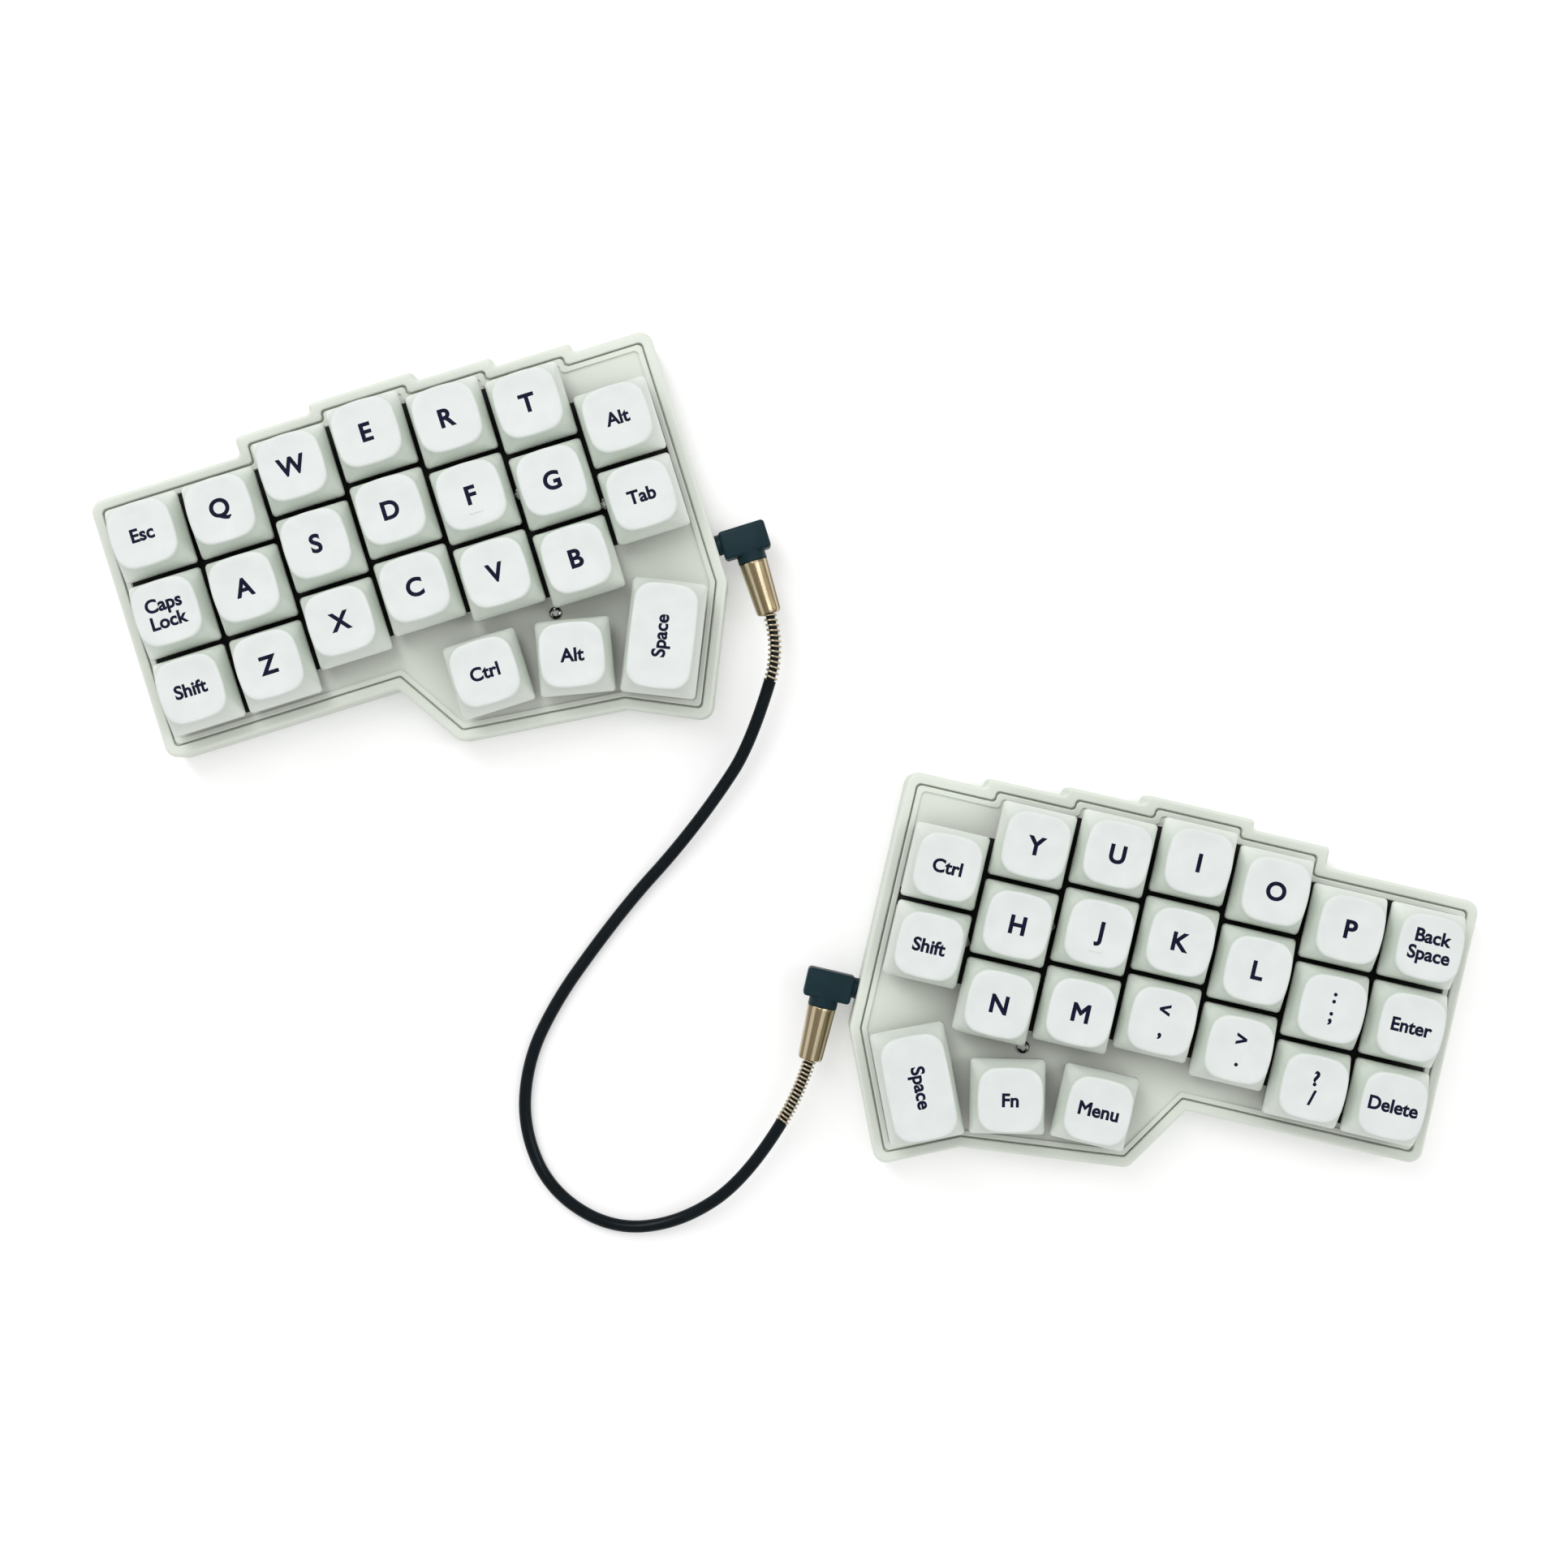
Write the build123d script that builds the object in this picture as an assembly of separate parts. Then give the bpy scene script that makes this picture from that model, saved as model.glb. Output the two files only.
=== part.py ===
import os
from collections import namedtuple
from math import cos, pi, radians, sin, sqrt

from build123d import *

# Split keyboard: two mirrored halves with mechanical switches, lying turned towards each other
# and joined by a short patch cord with right-angle plugs.
# Row frame: +X to the right hand, +Y away from the typist, +Z up, origin on the desk under the
# middle of both cases. Millimetres and degrees.
# Each half is drawn in its own flat frame: u runs from its outer column towards the other half,
# v runs away from the typist, and (0, 0) is the centre of the outer column's top key.

# Key grid
key_pitch = 19.05
key_rows = 3
column_stagger_shares = (0, 0, 0.25, 0.375, 0.25, 0.125)
inner_stagger_share = -0.375
thumb_places = ((66.9, -54.8), (87.6, -57.0), (109.1, -59.1))
thumb_turns = (0, 12, 24)
long_key_share = 1.5

# How the halves lie on the desk
left_place = (-150.49, 50.34)
left_turn = 17.35
right_place = (151.02, -46.67)
right_turn = -13.11

# Heights of the stack
foot_proud = 1.5
floor_thickness = 2.5
boss_height = 3.0
board_thickness = 1.6
switch_depth = 5.0
plate_thickness = 1.5
lip_height = 0.5

# Case walls, seen from above
seam_margin = 1.0
rim_width = 2.7
seam_gap = 0.4
ledge_width = 1.2
board_clearance = 0.5
corner_radius = 1.2
step_radius = 1.0
outer_corner_radius = 3.2
outer_step_radius = 1.1
rim_rounding = 0.9
seam_rounding = 0.3
base_chamfer = 0.6
lip_width = 1.2
lip_chamfer = 0.25

# Keycaps
cap_width = 18.0
cap_height = 9.1
cap_rise = 6.0
cap_shoulder_width = 15.2
cap_crown_width = 14.3
cap_crown_height = 0.8
cap_base_radius = 1.0
cap_shoulder_radius = 4.4
cap_crown_radius = 4.2
cap_dish_depth = 0.35
cap_dish_share = 0.95
cap_bottom_wall = 1.3
cap_roof = 1.7
cap_inner_top_width = 12.0
cap_inner_radius = 0.6
cap_inner_top_radius = 1.5
post_width = 5.5
homing_bar = (3.6, 0.6, 0.3)
homing_bar_share = 0.29

# Switches
key_travel = 4.0
plate_hole = 14.0
housing_clearance = 0.05
housing_flange_width = 15.6
housing_flange_height = 1.0
housing_shoulder_width = 14.0
housing_top_width = 10.4
housing_rise = 6.6
housing_roof = 1.2
housing_floor = 1.0
cavity_size = (10.0, 8.2)
slider_collar = (7.2, 6.0)
slider_clearance = 0.3
slider_flange = (9.4, 7.6, 1.5)
slider_rest_gap = 0.1
collar_proud = 0.1
cross_span = 4.0
cross_bar = 1.2
cross_height = 3.6
cross_clearance = 0.05
pole_width = 2.2
pole_height = 3.5
spring_outer_radius = 2.2
spring_wall = 0.45
spring_recess = 5.0
spring_end_gap = 0.1

# Screws, feet and bosses
screw_flange_gap = 0.125
screw_head_radius = (key_pitch - housing_flange_width) / 2 - screw_flange_gap
screw_head_height = 1.3
screw_shaft_share = 0.625
screw_shaft_radius = screw_head_radius * screw_shaft_share
screw_hole_clearance = 0.1
screw_bite = 0.5
screw_socket_share = 0.46875
screw_socket_width = screw_head_radius * 2 * screw_socket_share
screw_socket_depth = 0.8
screw_socket_sides = 6
boss_radius = 2.6
screw_place_shares = ((0.5, 0), (0.5, -2), (4.5, -0.8125), (4.51, -2.377), (5.5, -1.25))
foot_radius = 4.0
foot_recess = 1.0
foot_clearance = 0.1
foot_rounding = 0.4
foot_place_shares = ((0, 0), (0, -2.0), (6.0, 0), (5.6, -3.2))

# Sockets and chip on the board
jack_size = (12.0, 6.2, 5.0)
jack_bore_radius = 1.8
jack_bore_depth = 11.5
jack_gap = 0.1
port_size = (8.94, 7.3, 3.2)
port_corner_radius = 1.5
port_wall = 0.32
port_depth = 6.2
port_tongue = (6.7, 4.6, 0.7)
port_set_back = 0.6
port_clearance = 0.25
port_slot_radius = 1.7
chip_size = (7.0, 7.0, 0.9)
chip_place_shares = (5.2, -2.1)

# Plugs
plug_v = -41.7
plug_body = (11.55, 7.0, 7.0)
plug_case_gap = 1.1
plug_rounding = 0.9
neck_offset = 0.7
neck_radius = 2.5
neck_clearance = 0.3
shaft_radius = 1.75
shaft_reach = 10.5
shaft_tip = 0.8
collar_radius = 3.5
collar_length = 2.0
collar_share = 0.54
sleeve_radius = 3.45
sleeve_end_radius = 2.95
sleeve_length = 13.2
sleeve_rounding = 0.8

# Strain springs
strain_wire = 0.45
strain_radius = 1.375
strain_turns_left = 13
strain_turns_right = 16
strain_end_bend = 0.5
quarters = 4
points_per_turn = 24

# Patch cord. Its free stretch goes through these points; the jacket stops at the springs and
# only the core runs on inside them.
cord_diameter = 3.0
core_diameter = 2.1
plug_height = 9.0
cord_route = (
    (-3.6, 16.8, 8.3),
    (-8.2, 1.6, 6.9),
    (-17.2, -12.2, 4.9),
    (-27.2, -25.0, 3.0),
    (-36.7, -35.4, 1.9),
    (-46.3, -47.7, 1.6),
    (-55.8, -61.1, 1.55),
    (-62.8, -75.5, 1.55),
    (-64.2, -91.9, 1.55),
    (-57.6, -107.7, 1.55),
    (-42.4, -117.2, 1.8),
    (-25.4, -115.3, 3.1),
    (-9.2, -104.0, 6.9),
    (-0.8, -90.1, 8.3),
)
cord_arc_share = 0.45

# One overrun for every cut
overrun = 1.0

# Heights worked out from the stack
case_bottom = foot_proud
floor_top = case_bottom + floor_thickness
board_bottom = floor_top + boss_height
board_top = board_bottom + board_thickness
plate_top = board_top + switch_depth
plate_bottom = plate_top - plate_thickness
rim_top = plate_top + lip_height
cap_base = plate_top + cap_rise
cavity_floor = board_top + housing_floor
collar_top = plate_top + housing_rise + collar_proud
slider_flange_top = plate_top + housing_rise - housing_roof - slider_rest_gap

# Edges of the key block, worked out from the grid
seam_reach = key_pitch / 2 + seam_margin
inner_column = len(column_stagger_shares)
seam_inner_u = (inner_column + 1 / 2) * key_pitch + seam_margin
seam_bottom_v = -(key_rows - 1) * key_pitch - seam_reach

Half = namedtuple("Half", "name side location")
Key = namedtuple("Key", "node half u v turn long homing")

halves = (
    Half("left", 1, Location((*left_place, 0), (0, 0, left_turn))),
    Half("right", -1, Location((*right_place, 0), (0, 0, right_turn))),
)

left_columns = (
    ("esc", "caps_lock", "left_shift"),
    ("q", "a", "z"),
    ("w", "s", "x"),
    ("e", "d", "c"),
    ("r", "f", "v"),
    ("t", "g", "b"),
    ("left_alt", "tab"),
)
right_columns = (
    ("back_space", "enter", "delete"),
    ("p", "semicolon", "slash"),
    ("o", "l", "period"),
    ("i", "k", "comma"),
    ("u", "j", "m"),
    ("y", "h", "n"),
    ("right_ctrl", "right_shift"),
)
left_thumbs = ("thumb_ctrl", "thumb_alt", "left_space")
right_thumbs = ("thumb_menu", "thumb_fn", "right_space")
homing_keys = ("f", "j")


def list_keys():
    """Every key with its place in its own half."""
    keys = []
    for half, columns, thumbs in zip(halves, (left_columns, right_columns), (left_thumbs, right_thumbs)):
        stagger_shares = column_stagger_shares + (inner_stagger_share,)
        for column, names in enumerate(columns):
            for row, name in enumerate(names):
                v = (stagger_shares[column] - row) * key_pitch
                keys.append(Key(name + "_key", half, column * key_pitch, v, 0, False, name in homing_keys))
        for name, (u, v), turn in zip(thumbs, thumb_places, thumb_turns):
            keys.append(Key(name + "_key", half, u, v, turn, turn == thumb_turns[-1], False))
    return keys


def key_location(key, z):
    """Where a key's own origin lies in the row frame."""
    spot = Location((key.half.side * key.u, key.v, z), (0, 0, -key.half.side * key.turn))
    return key.half.location * spot


def spot_location(half, place_shares, z):
    """A place in a half, given in shares of the key pitch."""
    u, v = (share * key_pitch for share in place_shares)
    return half.location * Location((half.side * u, v, z))


def line_crossing(point_a, way_a, point_b, way_b):
    """Where two lines in the flat frame cross."""
    cross = way_a[0] * way_b[1] - way_a[1] * way_b[0]
    step = ((point_b[0] - point_a[0]) * way_b[1] - (point_b[1] - point_a[1]) * way_b[0]) / cross
    return (point_a[0] + step * way_a[0], point_a[1] + step * way_a[1])


def thumb_corner(index, right, up):
    """A point beside a thumb key, given along that key's own width and depth."""
    (u, v), turn = thumb_places[index], radians(thumb_turns[index])
    return (u + right * cos(turn) + up * sin(turn), v - right * sin(turn) + up * cos(turn))


def seam_points():
    """Corners of the seam between rim and top shell, clockwise from the outer top corner."""
    top_shares = column_stagger_shares + (0,)
    points = [(-seam_reach, seam_reach, "corner")]
    for column in range(1, inner_column + 1):
        low, high = sorted((top_shares[column - 1], top_shares[column]))
        if low == high:
            continue
        rising = top_shares[column] > top_shares[column - 1]
        u = (column - 1 / 2) * key_pitch + (-seam_margin if rising else seam_margin)
        first, second = (low, high) if rising else (high, low)
        points.append((u, first * key_pitch + seam_reach, "step"))
        points.append((u, second * key_pitch + seam_reach, "step"))
    long_half = long_key_share * key_pitch / 2 + seam_margin
    space_low = thumb_corner(2, seam_reach, -long_half)
    space_way = (sin(radians(thumb_turns[2])), cos(radians(thumb_turns[2])))
    apex = line_crossing(space_low, space_way, (seam_inner_u, 0), (0, 1))
    points.append((seam_inner_u, seam_reach, "corner"))
    points.append((*apex, "corner"))
    points.append((*space_low, "corner"))
    points.append((*thumb_corner(1, seam_reach, -seam_reach), "step"))
    points.append((*thumb_corner(0, -seam_reach, -seam_reach), "corner"))
    points.append((thumb_places[0][0] - seam_reach - key_pitch / 2 - seam_margin, seam_bottom_v, "step"))
    points.append((-seam_reach, seam_bottom_v, "corner"))
    return points


def half_face(half, grow, big_radius, small_radius, z):
    """Face bounded by a line parallel to the seam, grown outwards (or inwards when negative)."""
    points = seam_points()
    lines = []
    for (u0, v0, _), (u1, v1, _) in zip(points, points[1:] + points[:1]):
        length = sqrt((u1 - u0) ** 2 + (v1 - v0) ** 2)
        way = ((u1 - u0) / length, (v1 - v0) / length)
        lines.append(((u0 - grow * way[1], v0 + grow * way[0]), way))
    corners = []
    radii = []
    for index, (_, _, kind) in enumerate(points):
        (point_a, way_a), (point_b, way_b) = lines[index - 1], lines[index]
        u, v = line_crossing(point_a, way_a, point_b, way_b)
        corners.append((half.side * u, v, z))
        radii.append(big_radius if kind == "corner" else small_radius)
    return make_face(FilletPolyline(*corners, radius=radii, close=True))


def half_slab(half, grow, big_radius, small_radius, bottom, top):
    """Upright slab between two heights, bounded parallel to the seam."""
    return extrude(half_face(half, grow, big_radius, small_radius, bottom), top - bottom, (0, 0, 1))


def upright_box(size, bottom):
    """Box centred on the z axis that stands on the given height."""
    return Location((0, 0, bottom + size[2] / 2)) * Box(*size)


def upright_cylinder(radius, bottom, top):
    """Cylinder on the z axis between two heights."""
    return Location((0, 0, (bottom + top) / 2)) * Cylinder(radius, top - bottom)


def rounded_section(width, length, radius, z):
    """Flat rounded rectangle at a height."""
    return Location((0, 0, z)) * RectangleRounded(width, length, radius)


def tapered(sections):
    """Solid with straight sides through flat sections."""
    return loft(sections, ruled=True)


def jack_location(half):
    """Mouth of the patch socket: its own +X points out of the case."""
    u = seam_inner_u - ledge_width - jack_gap
    v = plug_v + neck_offset
    return half.location * Location((half.side * u, v, plug_height), (0, 0, 0 if half.side > 0 else 180))


def port_location(half):
    """Mouth of the data socket in the rear wall: its own +Y points out of the case."""
    u = inner_column * key_pitch
    v = seam_reach + rim_width - port_set_back
    return half.location * Location((half.side * u, v, board_top + port_size[2] / 2))


def screw_spots(half):
    """Screws of a half, at the board's height zero."""
    return [spot_location(half, shares, 0) for shares in screw_place_shares]


def foot_spots(half):
    """Feet of a half, at desk height."""
    return [spot_location(half, shares, 0) for shares in foot_place_shares]


def case(half):
    """Tray with rounded rim, floor, screw bosses and the openings in its walls."""
    outer_radii = (outer_corner_radius, outer_step_radius)
    body = half_slab(half, rim_width, *outer_radii, case_bottom, rim_top)
    body = fillet(body.edges().group_by(Axis.Z)[-1], rim_rounding)
    body = chamfer(body.edges().group_by(Axis.Z)[0], base_chamfer)
    body -= half_slab(half, seam_gap / 2, corner_radius, step_radius, plate_bottom, rim_top + overrun)
    inner_edges = body.edges().filter_by_position(Axis.Z, rim_top, rim_top)
    body = fillet(inner_edges, seam_rounding)
    body -= half_slab(half, -ledge_width, corner_radius, step_radius, floor_top, plate_bottom + overrun)
    body = half.location * body
    for spot in screw_spots(half):
        body += spot * upright_cylinder(boss_radius, floor_top, board_bottom)
    hole_radius = screw_shaft_radius + screw_hole_clearance
    for spot in screw_spots(half):
        body -= spot * upright_cylinder(hole_radius, floor_top - screw_bite, board_bottom + overrun)
    for spot in foot_spots(half):
        body -= spot * upright_cylinder(foot_radius + foot_clearance, 0, case_bottom + foot_recess)
    neck_hole = Location((0, 0, 0), (0, 90, 0)) * Cylinder(
        neck_radius + neck_clearance, rim_width + 2 * ledge_width + 2 * overrun
    )
    body -= jack_location(half) * Location(((rim_width + ledge_width) / 2, 0, 0)) * neck_hole
    slot_size = (port_size[0] + 2 * port_clearance, port_size[2] + 2 * port_clearance)
    slot_face = Plane.XZ * RectangleRounded(*slot_size, port_slot_radius)
    slot = extrude(slot_face, 2 * (rim_width + ledge_width), both=True)
    body -= port_location(half) * slot
    return body


def top_shell(half):
    """Switch plate with a raised lip, square switch holes and screw holes."""
    shell = half_slab(half, -seam_gap / 2, corner_radius, step_radius, plate_bottom, rim_top)
    shell = chamfer(shell.edges().group_by(Axis.Z)[-1], lip_chamfer)
    inside_lip = -seam_gap / 2 - lip_width
    shell -= half_slab(half, inside_lip, corner_radius, step_radius, plate_top, rim_top + overrun)
    shell = half.location * shell
    hole = upright_box((plate_hole, plate_hole, plate_thickness + 2 * overrun), plate_bottom - overrun)
    for key in list_keys():
        if key.half is half:
            shell -= key_location(key, 0) * hole
    hole_radius = screw_shaft_radius + screw_hole_clearance
    for spot in screw_spots(half):
        shell -= spot * upright_cylinder(hole_radius, plate_bottom - overrun, plate_top + overrun)
    return shell


def circuit_board(half):
    """Board on the bosses, cut out for the sunk patch socket."""
    grow = -ledge_width - board_clearance
    board = half_slab(half, grow, corner_radius, step_radius, board_bottom, board_top)
    board = half.location * board
    cut = Box(
        jack_size[0] + board_clearance + overrun + ledge_width,
        jack_size[1] + 2 * screw_hole_clearance,
        jack_size[2] + overrun,
        align=(Align.MAX, Align.CENTER, Align.CENTER),
    )
    board -= jack_location(half) * Location((ledge_width + overrun, 0, 0)) * cut
    hole_radius = screw_shaft_radius + screw_hole_clearance
    for spot in screw_spots(half):
        board -= spot * upright_cylinder(hole_radius, board_bottom - overrun, board_top + overrun)
    return board


def controller_chip(half):
    """Controller soldered under the board."""
    return spot_location(half, chip_place_shares, 0) * upright_box(chip_size, board_bottom - chip_size[2])


def patch_socket(half):
    """Round audio-style socket, sunk into the board."""
    body = Box(*jack_size, align=(Align.MAX, Align.CENTER, Align.CENTER))
    bore = Cylinder(jack_bore_radius, jack_bore_depth + overrun, rotation=(0, 90, 0))
    bore_middle = (overrun - jack_bore_depth) / 2
    return jack_location(half) * (body - Location((bore_middle, 0, 0)) * bore)


def data_socket(half):
    """Flat oval data socket with its tongue."""
    outer = RectangleRounded(port_size[0], port_size[2], port_corner_radius)
    hollow = RectangleRounded(
        port_size[0] - 2 * port_wall, port_size[2] - 2 * port_wall, port_corner_radius - port_wall
    )
    shell = extrude(Plane.XZ * outer, port_size[1])
    shell -= Location((0, overrun, 0)) * extrude(Plane.XZ * hollow, port_depth + overrun)
    tongue = Box(*port_tongue, align=(Align.CENTER, Align.MIN, Align.CENTER))
    shell += Location((0, -port_depth, 0)) * tongue
    return port_location(half) * shell


def screw(spot):
    """Socket-head screw through plate and board into a boss."""
    body = upright_cylinder(screw_shaft_radius, floor_top - screw_bite, plate_top)
    body += upright_cylinder(screw_head_radius, plate_top, plate_top + screw_head_height)
    socket_bottom = plate_top + screw_head_height - screw_socket_depth
    socket_face = RegularPolygon(screw_socket_width / 2, screw_socket_sides)
    socket_face = Location((0, 0, socket_bottom)) * socket_face
    body -= extrude(socket_face, screw_socket_depth + overrun)
    return spot * body


def foot(spot):
    """Round rubber foot, set into the floor."""
    body = upright_cylinder(foot_radius, 0, case_bottom + foot_recess)
    return spot * fillet(body.edges().group_by(Axis.Z)[0], foot_rounding)


def keycap(key):
    """Hollow cap with tapered skirt, crowned square top, shallow dish and stem socket."""
    extra = (long_key_share - 1) * key_pitch if key.long else 0
    crown_bottom = cap_height - cap_crown_height
    cap = tapered(
        (
            rounded_section(cap_width, cap_width + extra, cap_base_radius, 0),
            rounded_section(
                cap_shoulder_width, cap_shoulder_width + extra, cap_shoulder_radius, crown_bottom
            ),
            rounded_section(cap_crown_width, cap_crown_width + extra, cap_crown_radius, cap_height),
        )
    )
    mouth = cap_width - 2 * cap_bottom_wall
    roof_z = cap_height - cap_roof
    cap -= tapered(
        (
            rounded_section(mouth, mouth + extra, cap_inner_radius, 0),
            rounded_section(cap_inner_top_width, cap_inner_top_width + extra, cap_inner_top_radius, roof_z),
        )
    )
    post_bottom = collar_top - cap_base
    cap += upright_box((post_width, post_width, cap_height - cap_roof / 2 - post_bottom), post_bottom)
    socket_height = cross_height + 2 * cross_clearance + overrun
    cap -= slider_cross(cross_clearance, post_bottom - overrun, socket_height)
    dish_reach = cap_dish_share * cap_crown_width / 2
    dish_radius = (dish_reach**2 + cap_dish_depth**2) / (2 * cap_dish_depth)
    trough = Cylinder(dish_radius, cap_width + extra + 2 * overrun, rotation=(90, 0, 0))
    dish = trough if key.long else Sphere(dish_radius)
    cap -= Location((0, 0, cap_height - cap_dish_depth + dish_radius)) * dish
    if key.homing:
        bar_y = -homing_bar_share * cap_crown_width
        bar_z = cap_height - cap_dish_depth
        cap += Location((0, bar_y, 0)) * upright_box(homing_bar, bar_z)
    return cap


def slider_cross(clearance, bottom, height):
    """Cross-shaped stem, or the socket round it when given a clearance."""
    span = cross_span + 2 * clearance
    bar = cross_bar + 2 * clearance
    return upright_box((span, bar, height), bottom) + upright_box((bar, span, height), bottom)


def slider():
    """Switch slider: retaining flange, collar and cross-shaped stem, at its place over the desk."""
    flange_bottom = slider_flange_top - slider_flange[2]
    body = upright_box(slider_flange, flange_bottom)
    body += upright_box((*slider_collar, collar_top - flange_bottom), flange_bottom)
    body += slider_cross(0, collar_top, cross_height)
    recess_height = slider_flange[2] + slider_rest_gap
    body -= upright_box((spring_recess, spring_recess, recess_height + overrun), flange_bottom - overrun)
    return body


def switch_housing():
    """Hollow switch housing, clipped in the plate and standing on the board."""
    below = plate_hole - 2 * housing_clearance
    body = upright_box((below, below, switch_depth), board_top)
    body += upright_box((housing_flange_width, housing_flange_width, housing_flange_height), plate_top)
    shoulder_z = plate_top + housing_flange_height
    roof_z = plate_top + housing_rise
    body += loft(
        (
            Location((0, 0, shoulder_z)) * Rectangle(housing_shoulder_width, housing_shoulder_width),
            Location((0, 0, roof_z)) * Rectangle(housing_top_width, housing_top_width),
        ),
        ruled=True,
    )
    cavity_top = roof_z - housing_roof
    body -= upright_box((*cavity_size, cavity_top - cavity_floor), cavity_floor)
    opening = (slider_collar[0] + 2 * slider_clearance, slider_collar[1] + 2 * slider_clearance)
    body -= upright_box((*opening, housing_roof + 2 * overrun), cavity_top - overrun)
    pole_root = cavity_floor - housing_floor / 2
    body += upright_box((pole_width, pole_width, pole_height + housing_floor / 2), pole_root)
    return body


def switch_spring():
    """Return spring as a plain sleeve of its fully pressed length round the guide pole."""
    flange_bottom = slider_flange_top - slider_flange[2]
    recess_top = flange_bottom + slider_flange[2] + slider_rest_gap
    top = recess_top - key_travel - spring_end_gap
    outer = upright_cylinder(spring_outer_radius, cavity_floor, top)
    inner_radius = spring_outer_radius - spring_wall
    return outer - upright_cylinder(inner_radius, cavity_floor - overrun, top + overrun)


def plug_location(half):
    """Middle of the moulded plug body; its own +X points away from the case."""
    u = seam_inner_u + rim_width + plug_case_gap + plug_body[0] / 2
    turn = 0 if half.side > 0 else 180
    return half.location * Location((half.side * u, plug_v, plug_height), (0, 0, turn))


def moulded_plug(half):
    """Right-angle body with its neck into the case and its collar to the cord side."""
    body = fillet(Box(*plug_body).edges(), plug_rounding)
    neck_length = plug_case_gap + rim_width + ledge_width
    neck_middle = -(plug_body[0] + neck_length) / 2 + plug_rounding / 2
    neck = Cylinder(neck_radius, neck_length + plug_rounding, rotation=(0, 90, 0))
    body += Location((neck_middle, half.side * neck_offset, 0)) * neck
    collar_u = (collar_share - 1 / 2) * plug_body[0]
    collar_reach = plug_body[1] / 2 + collar_length
    collar_middle = collar_reach / 2
    collar = Cylinder(collar_radius, collar_reach, rotation=(90, 0, 0))
    body += Location((collar_u, -half.side * collar_middle, 0)) * collar
    return plug_location(half) * body


def contact_shaft(half):
    """Metal shaft of the plug, seated in the patch socket."""
    neck_length = plug_case_gap + rim_width + ledge_width
    shaft_middle = -plug_body[0] / 2 - neck_length - shaft_reach / 2
    shaft = Cylinder(shaft_radius, shaft_reach, rotation=(0, 90, 0))
    shaft = chamfer(shaft.edges().group_by(Axis.X)[0], shaft_tip)
    return plug_location(half) * Location((shaft_middle, half.side * neck_offset, 0)) * shaft


def sleeve_frame(half, distance):
    """Frame on the cord's axis, a distance beyond the collar; its own +Z follows the cord."""
    collar_u = (collar_share - 1 / 2) * plug_body[0]
    end = plug_body[1] / 2 + collar_length + distance
    turn = 90 * half.side
    return plug_location(half) * Location((collar_u, -half.side * end, 0), (turn, 0, 0))


def plug_sleeve(half):
    """Tapered metal sleeve between plug and spring."""
    body = Location((0, 0, sleeve_length / 2)) * Cone(sleeve_radius, sleeve_end_radius, sleeve_length)
    body = fillet(body.edges().group_by(Axis.Z)[-1], sleeve_rounding)
    return sleeve_frame(half, 0) * body


def bend_path(half, cord_end, cord_way):
    """Tangent arcs from the sleeve's end to where the cord's jacket stops."""
    frame = sleeve_frame(half, sleeve_length)
    start = Vector(*frame.position)
    way = Vector(*(frame * Location((0, 0, 1))).position) - start
    return Wire(biarc(start, way, cord_end, cord_way))


def biarc(start, start_way, end, end_way):
    """Two tangent arcs from one point and direction to another."""
    chord = end - start
    ways = start_way + end_way
    spread = 2 * (1 - start_way.dot(end_way))
    along = chord.dot(ways)
    arm = (sqrt(along**2 + spread * chord.dot(chord)) - along) / spread
    knee_a = start + start_way * arm
    knee_b = end - end_way * arm
    middle = (knee_a + knee_b) * (1 / 2)
    first = Edge.make_tangent_arc(start, start_way, middle)
    second = Edge.make_tangent_arc(middle, (knee_b - knee_a).normalized(), end)
    return [first, second]


def spring_point(bend, distance, turn):
    """Point of the coil over a distance along the bend, with the ways round and along it."""
    centre = bend.position_at(distance, position_mode=PositionMode.LENGTH)
    along = bend.tangent_at(distance, position_mode=PositionMode.LENGTH).normalized()
    side = along.cross(Vector(0, 0, 1)).normalized()
    rise = side.cross(along).normalized()
    point = centre + (side * cos(turn) + rise * sin(turn)) * strain_radius
    return point, rise * cos(turn) - side * sin(turn), along


def least_gap(path, turns):
    """Least gap between neighbouring curls, measured on points of the wire."""
    count = turns * points_per_turn
    step = path.length / count
    points = [path.position_at(step * i, position_mode=PositionMode.LENGTH) for i in range(count + 1)]
    gaps = []
    for index, point in enumerate(points):
        near = points[index + points_per_turn // 2 : index + 2 * points_per_turn]
        gaps += [(point - other).length for other in near]
    return min(gaps) - strain_wire


def strain_spring(bend, turns):
    """Open coil of wire round the cord's core, bent with the cord, with straight ends."""
    steps = turns * quarters
    end_length = strain_wire + strain_end_bend
    end_turn = strain_end_bend / strain_radius
    rate = (bend.length - 2 * end_length) / steps
    turn_rate = 2 * (pi * turns - end_turn) / steps
    climb = rate / (turn_rate * strain_radius)
    start, _, start_way = spring_point(bend, 0, 0)
    end, _, end_way = spring_point(bend, bend.length, 2 * pi * turns)
    points = [start + start_way * strain_wire]
    ways = [start_way]
    for index in range(steps + 1):
        distance = end_length + rate * index
        point, round_way, along = spring_point(bend, distance, end_turn + turn_rate * index)
        points.append(point)
        ways.append((round_way + along * climb).normalized())
    points.append(end - end_way * strain_wire)
    ways.append(end_way)
    edges = [Edge.make_line(start, points[0])]
    for index in range(steps + 2):
        edges += biarc(points[index], ways[index], points[index + 1], ways[index + 1])
    edges.append(Edge.make_line(points[-1], end))
    path = Wire(edges)
    section = Plane(start, z_dir=start_way) * Circle(strain_wire / 2)
    print("strain spring: turns", turns, "least gap", round(least_gap(path, turns), 2))
    return sweep(section, path=path)


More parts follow.
